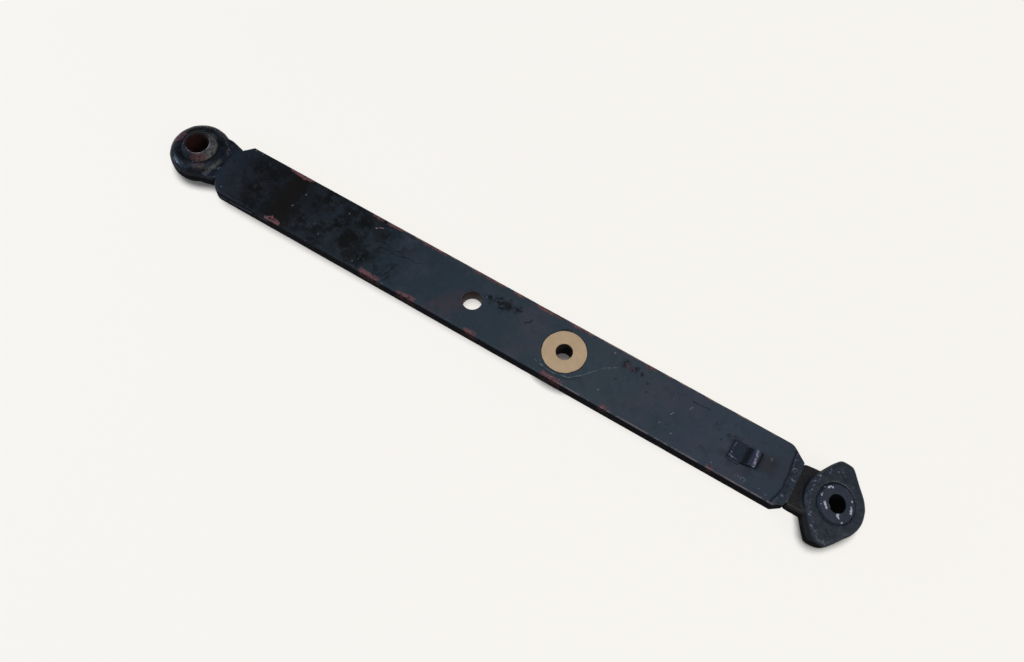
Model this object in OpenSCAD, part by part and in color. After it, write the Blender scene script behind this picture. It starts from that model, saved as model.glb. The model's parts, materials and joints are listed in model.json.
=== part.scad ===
// Lower link of a tractor's three-point linkage: a flat bar with a forged ball eye welded to each end.
// Millimetres. The origin is the centre of the front ball, +X runs along the bar to the rear ball,
// and +Z is square to the bar's flat faces.

/* [Bar] */
// Distance between the centres of the two balls
link_l = 899; // [800:1:1100]
// Width of the flat bar
bar_w = 80; // [70:1:100]
// Thickness of the flat bar
bar_t = 20; // [16:1:24]
// Bevel along the long edges of the bar
bar_bevel = 1.5; // [0.5:0.1:3]
// Angle of the cut at the front corner on the +Y side to the length of the bar
front_cut_a = 48; // [35:1:60]
// Angle of the cut at the front corner on the -Y side to the length of the bar
front_cut_b = 46; // [35:1:70]
// Angle at which the front end of the bar is out of square
front_slant = 4; // [0:0.5:6]
// Angle of the cuts at the rear corners to the length of the bar
rear_cut_a = 36; // [30:1:55]
// Distance of the plain pin hole from the front ball centre
hole_x = 417; // [300:1:450]
// Diameter of the plain pin hole
hole_d = 24.5; // [16:0.5:32]

/* [Lift rod bush] */
// Distance of the lift rod bush from the front ball centre
bush_x = 547; // [520:1:600]
// Outside diameter of the lift rod bush
bush_od = 55; // [44:0.5:60]
// Bore of the lift rod bush
bush_bore = 20; // [14:0.5:30]
// Height of the bush above the upper face of the bar
bush_proud = 0.4; // [0.2:0.1:3]
// Depth of the bush below the lower face of the bar
bush_drop = 8; // [6:0.5:16]
// Chamfer at both ends of the bush bore
bush_chamfer = 1; // [0.5:0.1:2]
// Radial clearance of the bush in its hole in the bar
bush_fit = 0.05; // [0.02:0.01:0.1]
// Leg of the fillet weld around the bush
bush_weld_leg = 5; // [3:0.5:6]
// Swell of that weld's face, as a share of its leg: half the leg is flat
bush_weld_swell = 0.55; // [0.5:0.01:0.7]

/* [Front eye] */
// Diameter of the front ball
front_ball_d = 56; // [54:0.5:58]
// Width of the front ball across its two faces
front_ball_w = 45; // [42:0.5:47]
// Bore of the front ball
front_bore = 28.4; // [22:0.1:29]
// Outside diameter of the front eye
front_eye_d = 78; // [72:0.5:84]
// Thickness of the front eye across its two lips
front_lip_t = 32; // [28:0.5:36]
// Height of the straight band around the front eye
front_band = 9; // [4:0.5:14]
// Distance of the bar's front end from the front ball centre
front_butt_x = 45; // [45:0.5:60]
// Width of the front eye's shank where it meets the bar
front_neck_w = 54; // [44:1:58]
// Width of the front eye's shank where it leaves the eye
front_root_w = 64; // [60:1:70]
// Distance from the ball centre to where the front eye's shank starts to narrow
front_root_x = 26; // [20:1:32]
// Thickness of the front eye's shank
front_neck_t = 19; // [14:0.5:20]

/* [Rear eye] */
// Diameter of the rear ball
rear_ball_d = 56; // [54:0.5:58]
// Width of the rear ball across its two faces
rear_ball_w = 35; // [32:0.5:40]
// Bore of the rear ball
rear_bore = 22.4; // [19:0.1:28.4]
// Height of the rear ball's centre below the middle of the bar
rear_drop = 3.5; // [0:0.5:6]
// Offset of the rear ball's centre from the middle line of the bar
rear_y = -1; // [-3:0.5:3]
// Thickness of the rear eye's head
head_t = 29; // [24:0.5:31]
// Radius of the head around the ball
head_r = 38.5; // [36:0.5:40]
// Distance between the tips of the head's two ears
ear_span = 104; // [92:1:112]
// Length of the flat tip of an ear
ear_l = 9; // [6:1:16]
// Corner radius of an ear
ear_r = 7.5; // [6:0.5:10]
// Distance of the ears behind the ball centre
ear_back = 2; // [0:0.5:8]
// Bevel around the head's upper face
head_bevel = 2.5; // [2:0.5:5]
// How far the draft of the forging draws in the head's lower face
head_draft = 3.5; // [2:0.5:5]
// Angle at which the head is turned in its own plane
head_turn = 5; // [0:0.5:6]
// Angle at which the head and its ball are cranked down from the plane of the bar
head_crank = 15; // [0:0.5:16]
// Distance of the bar's rear end from the rear ball centre
rear_butt_x = 46; // [45:0.5:60]
// Offset of the middle of the rear eye's shank from the middle line of the bar
shank_y = -3; // [-6:0.5:0]
// Width of the rear eye's shank
rear_neck_w = 57; // [50:1:62]
// Thickness of the rear eye's shank where it meets the bar
rear_neck_t = 14; // [10:0.5:16]
// Thickness of the rear eye's shank where it enters the head
rear_root_t = 18; // [14:0.5:22]
// Distance behind the ball centre of the fillets between the ears and the shank
fillet_x = 31; // [28:0.5:34]
// Radius of those fillets at the lower face of the head
fillet_r = 15; // [12:0.5:18]
// Radius of those fillets at the upper face of the head
fillet_r_top = 9; // [7:0.5:12]

/* [Shanks] */
// Bevel along the long edges of both shanks
shank_bevel = 2; // [1:0.5:3]

/* [Balls] */
// Radial running clearance between a ball and its socket
ball_fit = 0.05; // [0.02:0.01:0.1]
// Chamfer at the mouths of the ball bores
ball_chamfer = 1; // [0.4:0.1:1.5]

/* [Keeper strap] */
// Distance of the keeper strap's fixed end from the rear ball centre
keeper_back = 127; // [115:1:150]
// Offset of the keeper strap's middle from the middle of the bar
keeper_y = -4.5; // [-12:0.5:12]
// Width of the keeper strap
keeper_w = 22; // [16:1:30]
// Thickness of the keeper strap
keeper_t = 4.5; // [3:0.5:6]
// Length of the flat foot of the keeper strap
keeper_foot = 16; // [12:0.5:20]
// Inner radius of the keeper strap's bends
keeper_bend_r = 4; // [3:0.5:6]
// Angle at which the keeper strap rises from the bar
keeper_rise_a = 35; // [30:1:45]
// Length of the straight rise of the keeper strap
keeper_rise_l = 8; // [6:0.5:12]
// Angle through which the keeper strap's nose turns down past the level
keeper_nose_a = 30; // [10:1:40]

/* [Welds] */
// Width of the weld bead on the front butt joint
front_bead_w = 9; // [7:0.5:12]
// Crown of the weld bead on the front butt joint
front_bead_h = 0.7; // [0.6:0.1:1.6]
// Width of the weld bead on the rear butt joint
rear_bead_w = 12.5; // [10:0.5:17]
// Lap of the rear weld bead on the shank, past the bar's end
rear_bead_lap = 1; // [0.5:0.5:4]
// Crown of the weld bead on the rear butt joint
rear_bead_h = 1.8; // [1:0.1:2.5]
// Leg of the weld on the bar along the foot of the keeper strap
keeper_bead = 3; // [2.5:0.5:5]
// Height of that weld on the side of the foot
keeper_bead_h = 2; // [1:0.1:2.8]
// Spacing of the ripples in a weld bead
ripple = 4.5; // [3.5:0.5:6]
// Step between two ripples, as a share of the bead's crown
ripple_step = 0.25; // [0.1:0.05:0.4]
// Unevenness of the ripples, as a share of the bead's crown
ripple_vary = 0.15; // [0:0.01:0.2]

/* [Hidden] */
$fn = 96;

paint = [0.16, 0.20, 0.24];
weld_paint = [0.20, 0.24, 0.28];
bare_steel = [0.42, 0.41, 0.40];
bush_steel = [0.63, 0.54, 0.44];

top_z = bar_t / 2;
bar_x1 = link_l - rear_butt_x;
rear_centre = [link_l, rear_y, -rear_drop];
// Reach of the rear shank's blank past the bar's end, where it is cut square.
shank_over = 5;
// Each ripple runs this far into the next, and their unevenness turns by this angle from one to the next.
ripple_lap = 0.1;
ripple_turn = 137;
// The rear shank is turned, so its half width at the bar's end follows from the angle.
shank_half = rear_neck_w / 2 / cos(head_turn);

// Corner of the bar: a cut from the half width of the shank out to the edge of the bar.
function cut_l(half, angle) = (bar_w / 2 - half) / tan(angle);

// Where the slanted front end of the bar lies at a distance y from its middle line.
function front_end(y) = front_butt_x + y * tan(front_slant);

// Points of an arc about [x, y] from angle a0 to angle a1.
function arc(x, y, r, a0, a1, steps) =
    [for (i = [0:steps]) [x + r * cos(a0 + (a1 - a0) * i / steps), y + r * sin(a0 + (a1 - a0) * i / steps)]];

module bar_outline() {
    front = front_neck_w / 2;
    rear_up = shank_half + shank_y;
    rear_down = shank_half - shank_y;
    edge = bar_w / 2;
    polygon([
        [front_end(front), front],
        [front_end(front) + cut_l(front, front_cut_a), edge],
        [bar_x1 - cut_l(rear_up, rear_cut_a), edge],
        [bar_x1, rear_up],
        [bar_x1, -rear_down],
        [bar_x1 - cut_l(rear_down, rear_cut_a), -edge],
        [front_end(-front) + cut_l(front, front_cut_b), -edge],
        [front_end(-front), -front]
    ]);
}

// Cross-section of the bar, drawn as [z, y] and swept along +X.
module bar_section() {
    h = bar_t / 2;
    w = bar_w / 2;
    b = bar_bevel;
    polygon([[h, w - b], [h - b, w], [b - h, w], [-h, w - b], [-h, b - w], [b - h, -w], [h - b, -w], [h, b - w]]);
}

module bar_blank() {
    intersection() {
        linear_extrude(bar_t, center = true)
            bar_outline();
        rotate([0, -90, 0])
            mirror([0, 0, 1])
                linear_extrude(link_l)
                    bar_section();
    }
}

module link_bar() {
    color(paint)
        difference() {
            bar_blank();
            translate([hole_x, 0, 0])
                cylinder(h = 2 * bar_t, d = hole_d, center = true);
            translate([bush_x, 0, 0])
                cylinder(h = 2 * bar_t, r = bush_od / 2 + bush_fit, center = true);
        }
}

// A ball with two flat faces and a chamfered bore, standing on the Z axis.
module ball(d, w, bore) {
    difference() {
        intersection() {
            sphere(d = d);
            cube([d, d, w], center = true);
        }
        cylinder(h = 2 * w, d = bore, center = true);
        for (side = [0, 1])
            mirror([0, 0, side])
                translate([0, 0, w / 2 - ball_chamfer])
                    cylinder(h = 2 * ball_chamfer, r1 = bore / 2, r2 = bore / 2 + 2 * ball_chamfer);
    }
}

module front_ball() {
    color(bare_steel)
        ball(front_ball_d, front_ball_w, front_bore);
}

module rear_ball() {
    color(paint)
        translate(rear_centre)
            rotate([0, head_crank, 0])
                ball(rear_ball_d, rear_ball_w, rear_bore);
}

// Half section of the front eye as [radius, z]: a straight band, and quarter ellipses from there to the lips.
function eye_section() =
    let (
        r = front_eye_d / 2,
        band = front_band / 2,
        lip = front_lip_t / 2,
        mouth = sqrt(pow(front_ball_d / 2, 2) - lip * lip),
        steps = 10,
        upper = [for (i = [0:steps])
            [mouth + (r - mouth) * cos(90 * i / steps), band + (lip - band) * sin(90 * i / steps)]]
    )
    concat(
        upper,
        [[0, lip], [0, -lip]],
        [for (i = [steps:-1:0]) [upper[i][0], -upper[i][1]]]
    );

module front_eye_blank() {
    rotate_extrude()
        polygon(eye_section());
    root = front_root_w / 2;
    neck = front_neck_w / 2;
    hull()
        for (inset = [0, shank_bevel])
            linear_extrude(front_neck_t - 2 * (shank_bevel - inset), center = true)
                polygon([
                    [0, root - inset],
                    [front_root_x, root - inset],
                    [front_end(neck - inset), neck - inset],
                    [front_end(inset - neck), inset - neck],
                    [front_root_x, inset - root],
                    [0, inset - root]
                ]);
}

module front_eye() {
    color(paint)
        difference() {
            front_eye_blank();
            sphere(r = front_ball_d / 2 + ball_fit);
        }
}

// Outline of the rear head: the round cheek around the ball and an ear to each side, drawn inset all round.
module head_outline(inset) {
    circle(r = head_r - inset, $fn = 48);
    for (side = [-1, 1])
        for (end = [-1, 1])
            translate([end * ear_l / 2 - ear_back, side * (ear_span / 2 - ear_r)])
                circle(r = ear_r - inset, $fn = 32);
}

// The head of the rear forging about the ball centre, with its shank side towards -X.
module rear_head() {
    half_t = head_t / 2;
    difference() {
        hull() {
            linear_extrude(half_t)
                head_outline(head_bevel);
            linear_extrude(half_t - head_bevel)
                head_outline(0);
            translate([0, 0, -half_t])
                linear_extrude(half_t)
                    head_outline(head_draft);
        }
        for (side = [-1, 1])
            translate([-fillet_x, side * (rear_neck_w / 2 + fillet_r), -head_t / 2])
                cylinder(h = head_t, r1 = fillet_r, r2 = fillet_r_top);
    }
}

// A slab across the shank between two places on its length, its long edges bevelled.
module shank_slab(x0, x1, w, t) {
    for (bevel = [[0, shank_bevel], [shank_bevel, 0]])
        translate([x0, bevel[0] - w / 2, bevel[1] - t / 2])
            cube([x1 - x0, w - 2 * bevel[0], t - 2 * bevel[1]]);
}

// The shank runs from the bar's end, level with the bar, up into the cranked head.
module rear_shank() {
    hull() {
        translate([-rear_butt_x, shank_y - rear_y, rear_drop])
            rotate([0, 0, head_turn])
                shank_slab(-shank_over, 0, rear_neck_w, rear_neck_t);
        rotate([0, head_crank, 0])
            rotate([0, 0, head_turn])
                shank_slab(-fillet_x, -head_r / 2, rear_neck_w, rear_root_t);
    }
}

module rear_eye_blank() {
    intersection() {
        translate(rear_centre) {
            rotate([0, head_crank, 0])
                rotate([0, 0, head_turn])
                    rear_head();
            rear_shank();
        }
        translate([bar_x1, -link_l / 2, -link_l / 2])
            cube(link_l);
    }
}

module rear_eye() {
    color(paint)
        difference() {
            rear_eye_blank();
            translate(rear_centre)
                sphere(r = rear_ball_d / 2 + ball_fit);
        }
}

// A straight weld bead along Y over z = 0, w wide and h high: a row of ripples, each a short cone that
// swells to its own crown and steps down to the next.
module bead(length, w, h) {
    count = ceil(length / ripple);
    pitch = length / count;
    step = ripple_step * h;
    for (i = [0:count - 1]) {
        crown = h * (1 + ripple_vary * sin(i * ripple_turn));
        r = (w * w / 4 + crown * crown) / (2 * crown);
        translate([0, i * pitch - length / 2, crown - r])
            rotate([-90, 0, 0])
                cylinder(h = pitch + ripple_lap, r1 = r - step, r2 = r);
    }
}

// The weld over a butt joint at x, on both faces: beads of the given length about y, on shank and bar.
module butt_weld(x, y, slant, length, w, h, shank_t) {
    for (side = [0, 1])
        mirror([0, 0, side])
            difference() {
                intersection() {
                    translate([x, y, top_z])
                        rotate([0, 0, -slant])
                            bead(length, w, h);
                    translate([x - 2 * w, -bar_w, shank_t / 2])
                        cube([4 * w, 2 * bar_w, bar_t]);
                }
                bar_blank();
            }
}

module front_weld() {
    color(weld_paint)
        butt_weld(front_butt_x, 0, front_slant, front_neck_w - 4, front_bead_w, front_bead_h, front_neck_t);
}

module rear_weld() {
    color(weld_paint)
        difference() {
            butt_weld(bar_x1 - rear_bead_w / 2 + rear_bead_lap, shank_y, 0, 2 * shank_half - 4, rear_bead_w,
                rear_bead_h, rear_neck_t);
            translate(rear_centre)
                rear_shank();
        }
}

module lift_rod_bush() {
    h = bar_t + bush_proud + bush_drop;
    r = bush_bore / 2;
    c = bush_chamfer;
    color(bush_steel)
        translate([bush_x, 0, -top_z - bush_drop])
            rotate_extrude()
                polygon([[r + c, 0], [bush_od / 2 - c, 0], [bush_od / 2, c], [bush_od / 2, h - c / 2],
                    [bush_od / 2 - c / 2, h], [r + c, h], [r, h - c], [r, c]]);
}

module bush_weld() {
    r = bush_od / 2 + bush_fit;
    swell = bush_weld_leg * bush_weld_swell;
    color(weld_paint)
        translate([bush_x, 0, -top_z])
            rotate_extrude()
                polygon([[r, 0], [r + bush_weld_leg, 0], [r + swell, -swell],
                    [r, -bush_weld_leg]]);
}

// Side profile of the keeper strap as [x, z]: a flat foot, a rise between two bends, and a rounded nose.
function keeper_profile() =
    let (
        t = keeper_t,
        r = keeper_bend_r,
        a = keeper_rise_a,
        side = [sin(a), -cos(a)],
        c1 = [keeper_foot, t + r],
        c2 = c1 + (2 * r + t) * side + keeper_rise_l * [cos(a), sin(a)],
        end = 90 - keeper_nose_a,
        nose = c2 + (r + t / 2) * [cos(end), sin(end)]
    )
    concat(
        [[0, 0]],
        arc(c1[0], c1[1], r + t, -90, a - 90, 8),
        arc(c2[0], c2[1], r, 90 + a, end, 12),
        arc(nose[0], nose[1], t / 2, end - 180, end, 8),
        arc(c2[0], c2[1], r + t, end, 90 + a, 14),
        arc(c1[0], c1[1], r, a - 90, -90, 6),
        [[t / 3, t], [0, t * 2 / 3]]
    );

module keeper_shape() {
    rotate([90, 0, 0])
        linear_extrude(keeper_w, center = true)
            polygon(keeper_profile());
}

module keeper_strap() {
    color(paint)
        translate([link_l - keeper_back, keeper_y, top_z])
            keeper_shape();
}

module keeper_weld() {
    color(weld_paint)
        translate([link_l - keeper_back, keeper_y, top_z])
            for (side = [-1, 1])
                difference() {
                    intersection() {
                        translate([keeper_foot / 2, side * keeper_w / 2, 0])
                            rotate([0, 0, 90])
                                bead(keeper_foot, 2 * keeper_bead, keeper_bead_h);
                        translate([0, -bar_w, 0])
                            cube([keeper_foot, 2 * bar_w, bar_t]);
                    }
                    translate([-1, -keeper_w / 2, -1])
                        cube([keeper_foot + 2, keeper_w, bar_t]);
                }
}

link_bar();
front_eye();
front_ball();
front_weld();
rear_eye();
rear_ball();
rear_weld();
lift_rod_bush();
bush_weld();
keeper_strap();
keeper_weld();
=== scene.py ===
import json
import math

import bmesh
import bpy
from mathutils import Euler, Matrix, Vector, geometry, noise


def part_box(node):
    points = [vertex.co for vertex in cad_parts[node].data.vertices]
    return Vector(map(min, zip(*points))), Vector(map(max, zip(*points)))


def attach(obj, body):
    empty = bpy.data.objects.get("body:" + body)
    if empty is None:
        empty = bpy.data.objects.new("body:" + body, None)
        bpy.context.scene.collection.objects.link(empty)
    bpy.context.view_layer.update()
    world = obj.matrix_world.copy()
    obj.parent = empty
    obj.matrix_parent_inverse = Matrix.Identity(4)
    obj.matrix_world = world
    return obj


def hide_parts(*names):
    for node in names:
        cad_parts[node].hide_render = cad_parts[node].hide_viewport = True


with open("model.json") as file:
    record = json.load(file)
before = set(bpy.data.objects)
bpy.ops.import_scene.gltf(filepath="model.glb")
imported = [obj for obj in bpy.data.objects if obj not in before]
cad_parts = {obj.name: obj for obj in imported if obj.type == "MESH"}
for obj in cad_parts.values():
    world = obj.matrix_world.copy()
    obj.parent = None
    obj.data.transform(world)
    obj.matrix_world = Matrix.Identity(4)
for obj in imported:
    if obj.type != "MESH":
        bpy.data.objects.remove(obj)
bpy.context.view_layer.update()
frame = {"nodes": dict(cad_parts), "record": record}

# Lengths below are millimetres in the part's frame, and MM turns them into Blender's metres.
MM = 0.001
UP = Vector((0, 0, 1))

# Camera: the photograph's viewpoint, solved from the outline of the flat bar.
CAMERA_PLACE = (0.72441, -0.49068, 1.15241)
CAMERA_TURN = (25.22686, -1.92441, 31.04645)
CAMERA_LENS = 36.795

# Studio: the glow of the paper floor, how far in metres the part shades it, and the surroundings.
FLOOR_GLOW = 0.865
FLOOR_REACH = 6.0
CONTACT_REACH = 0.0175
WALL_LIGHT = 0.34
CEILING_LIGHT = 0.12
# Name, place and aim in metres, size in metres, power in watts, tint.
LIGHTS = [
    ("key", (3.3, -0.6, 3.0), (0.5, 0.0, 0.0), (2.3, 2.3), 165, (1.0, 0.985, 0.96)),
    ("top", (0.0, -0.5, 2.2), (0.4, 0.0, 0.0), (1.6, 0.7), 22, (0.96, 0.98, 1.0)),
    ("window", (-1.3, -0.75, 0.75), (0.0, 0.0, 0.0), (0.4, 0.4), 32, (0.5, 0.7, 1.0)),
]

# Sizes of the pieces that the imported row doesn't state. BAR_BORDERS are the places along X where
# the bar's paint changes its material, chosen where nothing shows.
BALL_R = 28
SOCKET_R = 28.12
FRONT_BALL_WIDTH = 45
REAR_BALL_WIDTH = 35
CORNER_R = 2.5
REAR_CORNER_R = 16
FRONT_CORNER_R = 14
BAR_EDGE_R = 2.6
HOLE_EDGE_R = 0.5
BAR_BORDERS = (200, 345, 480, 655)

MOUNTS = {m["name"]: m for m in frame["record"]["mounts"]}


def mount(name):
    """Centre in millimetres, axis and radius in millimetres of a mount of the record."""
    found = MOUNTS[name]
    return Vector(found["pos_m"]) / MM, Vector(found["axis"]).normalized(), found["dims"]["r_mm"]


def box_mm(node):
    low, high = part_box(node)
    return low / MM, high / MM


def node_points(node):
    """The distinct corners of a CAD node, in millimetres."""
    points = [v.co / MM for v in frame["nodes"][node].data.vertices]
    return list({tuple(round(c, 3) for c in p): p for p in points}.values())


FRONT, FRONT_AXIS, FRONT_BORE = mount("front_ball_bore")
REAR, REAR_AXIS, REAR_BORE = mount("rear_ball_bore")
PIN, _, PIN_R = mount("pin_hole")
BUSH, _, BUSH_BORE = mount("lift_rod_bush_bore")
BAR_HIGH = box_mm("link_bar")[1]
BUSH_LOW, BUSH_HIGH = box_mm("lift_rod_bush")
STRAP_LOW, STRAP_HIGH = box_mm("keeper_strap")
TOP_Z = BAR_HIGH.z
BUSH_R = (BUSH_HIGH.x - BUSH_LOW.x) / 2

# The link stands on the rims of its front ball and its rear eye, so the floor leans a little.
FLOOR_FRONT_Z = FRONT.z - 22.6
FLOOR_REAR_Z = -26.8
FLOOR_RUN = 930


def new_object(name, data):
    """A new object, linked into the scene."""
    made = bpy.data.objects.new(name, data)
    bpy.context.scene.collection.objects.link(made)
    return made


def make_object(name, mesh, material, body, node):
    """A finished piece: shown in place of its CAD node, riding on its body."""
    piece = new_object(name, mesh)
    mesh.materials.clear()
    if material:
        mesh.materials.append(material)
    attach(piece, body)
    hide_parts(node)
    return piece


def mesh_from(name, points, faces):
    """A mesh from points in millimetres, with its faces turned outward."""
    mesh = bpy.data.meshes.new(name)
    mesh.from_pydata([Vector(p) * MM for p in points], [], faces)
    shape = bmesh.new()
    shape.from_mesh(mesh)
    bmesh.ops.recalc_face_normals(shape, faces=shape.faces)
    shape.to_mesh(mesh)
    shape.free()
    return mesh


def shade(mesh, sharp_angle=None):
    """Smooth shading, with edges above the angle in degrees kept sharp."""
    mesh.polygons.foreach_set("use_smooth", [True] * len(mesh.polygons))
    if sharp_angle is not None:
        mesh.set_sharp_from_angle(angle=math.radians(sharp_angle))
    return mesh


# Pieces

def forged(node, name, voxel, rounds, unevenness, tidy=None, swell=0.0):
    """A CAD node's mesh rebuilt from voxels, so that its edges and fillets are soft as on a forging.
    It is uneven by lumps of (size, height) in millimetres."""
    mesh = frame["nodes"][node].data.copy()
    shape = bmesh.new()
    shape.from_mesh(mesh)
    bmesh.ops.remove_doubles(shape, verts=shape.verts, dist=0.001 * MM)
    shape.to_mesh(mesh)
    shape.free()
    piece = new_object(name, mesh)
    remesh = piece.modifiers.new("voxels", "REMESH")
    remesh.mode = "VOXEL"
    remesh.voxel_size = voxel * MM
    smooth = piece.modifiers.new("soften", "SMOOTH")
    smooth.factor = 0.5
    smooth.iterations = rounds
    graph = bpy.context.evaluated_depsgraph_get()
    mesh = bpy.data.meshes.new_from_object(piece.evaluated_get(graph))
    bpy.data.objects.remove(piece)
    normals = [v.normal.copy() for v in mesh.vertices]
    low, high = box_mm(node)
    for vertex, normal in zip(mesh.vertices, normals):
        point = vertex.co / MM
        point += normal * (swell + sum(height * noise.noise(point / size) for size, height in unevenness))
        if tidy:
            point = tidy(point)
        vertex.co = Vector([min(max(c, a), b) for c, a, b in zip(point, low, high)]) * MM
    return shade(mesh)


def clear_of_ball(centre):
    """Keeps a point outside the socket around a ball centre."""
    def tidy(point):
        offset = point - centre
        return centre + offset * max(1, SOCKET_R / offset.length)
    return tidy


def full_neck(point):
    """Clears the front ball, and fills out the upper side of the neck, which is straight there."""
    along = min(1.0, max(0.0, (point.x - 14) / 15))
    across = min(1.0, max(0.0, (point.y - 10) / 14))
    share = along ** 2 * (3 - 2 * along) * across
    return clear_of_ball(FRONT)(point + Vector((0, 2.2 * share, 0)))


def lathe(name, profile, centre, axis, steps=144):
    """A closed ring turned about an axis. The profile is a closed loop of (radius, height)."""
    turn = UP.rotation_difference(axis).to_matrix()
    points = []
    for i in range(steps):
        angle = 2 * math.pi * i / steps
        for radius, height in profile:
            spoke = Vector((radius * math.cos(angle), radius * math.sin(angle), height))
            points.append(centre + turn @ spoke)
    return mesh_from(name, points, strips(steps, len(profile), steps))


def strips(rings, width, rows):
    """Faces between each of the rings of points and the next, as numbers of their points."""
    faces = []
    for i in range(rings):
        here, beyond = i * width, (i + 1) % rows * width
        for j in range(width):
            k = (j + 1) % width
            faces.append((here + j, here + k, beyond + k, beyond + j))
    return faces


def arc_points(cx, cy, radius, start, end, count):
    """Points of an arc in a profile, angles in degrees."""
    angles = [math.radians(start + (end - start) * i / count) for i in range(count + 1)]
    return [(cx + radius * math.cos(a), cy + radius * math.sin(a)) for a in angles]


def ball_mesh(name, centre, axis, width, bore, rim=0.9, mouth=1.0):
    """A ball between two flat faces, bored through, with a rounded rim and mouths."""
    half = width / 2
    slope = math.degrees(math.asin((half - rim) / (BALL_R - rim)))
    rim_x = (BALL_R - rim) * math.cos(math.radians(slope))
    upper = arc_points(rim_x, half - rim, rim, slope, 90, 6)
    inner = arc_points(bore + mouth, half - mouth, mouth, 90, 180, 6)
    flat = [((rim_x * (4 - i) + (bore + mouth) * i) / 4, half) for i in range(1, 4)]
    sphere = arc_points(0, 0, BALL_R, -slope, slope, 28)
    wall = [(bore, (half - mouth) * (1 - i / 4)) for i in range(1, 8)]
    mirrored = [(r, -z) for r, z in reversed(upper + flat + inner)]
    profile = sphere[1:-1] + upper + flat + inner + wall + mirrored
    return shade(lathe(name, profile, centre, axis), 40)


def bush_mesh():
    """The turned bush: a thick ring with broken outer edges and countersunk mouths."""
    low, high = BUSH_LOW.z, BUSH_HIGH.z
    edge, mouth = 0.4, 1.0
    profile = arc_points(BUSH_R - edge, high - edge, edge, 0, 90, 4)
    profile += [(BUSH_R - edge - (BUSH_R - edge - BUSH_BORE - mouth) * i / 5, high) for i in range(1, 5)]
    profile += arc_points(BUSH_BORE + mouth, high - mouth, mouth, 90, 180, 5)
    profile += [(BUSH_BORE, high - (high - low) * i / 6) for i in range(1, 6)]
    profile += arc_points(BUSH_BORE + mouth, low + mouth, mouth, 180, 270, 5)
    profile += arc_points(BUSH_R - mouth, low + mouth, mouth, 270, 360, 5)
    return shade(lathe("bush", profile, Vector((BUSH.x, BUSH.y, 0)), UP), 40)


def rounded_outline(corners, radii, step):
    """Points about every step along a convex outline, each of whose corners is turned by its arc."""
    count = len(corners)
    arcs = []
    for i, corner in enumerate(corners):
        before = (corners[i - 1] - corner).normalized()
        after = (corners[(i + 1) % count] - corner).normalized()
        radius = radii[i]
        half = before.angle(after) / 2
        centre = corner + (before + after).normalized() * radius / math.sin(half)
        start = corner + before * radius / math.tan(half) - centre
        end = corner + after * radius / math.tan(half) - centre
        turn = start.angle_signed(end)
        steps = max(2, round(abs(turn) * radius / 0.6))
        arc = []
        for k in range(steps + 1):
            angle = -turn * k / steps
            c, s = math.cos(angle), math.sin(angle)
            arc.append(centre + Vector((c * start.x - s * start.y, s * start.x + c * start.y)))
        arcs.append(arc)
    points = []
    for i, arc in enumerate(arcs):
        points += arc
        start, end = arc[-1], arcs[(i + 1) % count][0]
        steps = max(1, round((end - start).length / step))
        points += [start.lerp(end, k / steps) for k in range(1, steps)]
    return points


def edge_wear(point):
    """How far, in millimetres, knocks have pushed in the bar's edge at a point."""
    broad = noise.noise(point / 31)
    small = noise.noise(point / 7)
    return 0.12 + 0.35 * max(0, broad + 0.4 * small - 0.12) + 0.5 * max(0, small - 0.42)


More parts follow.
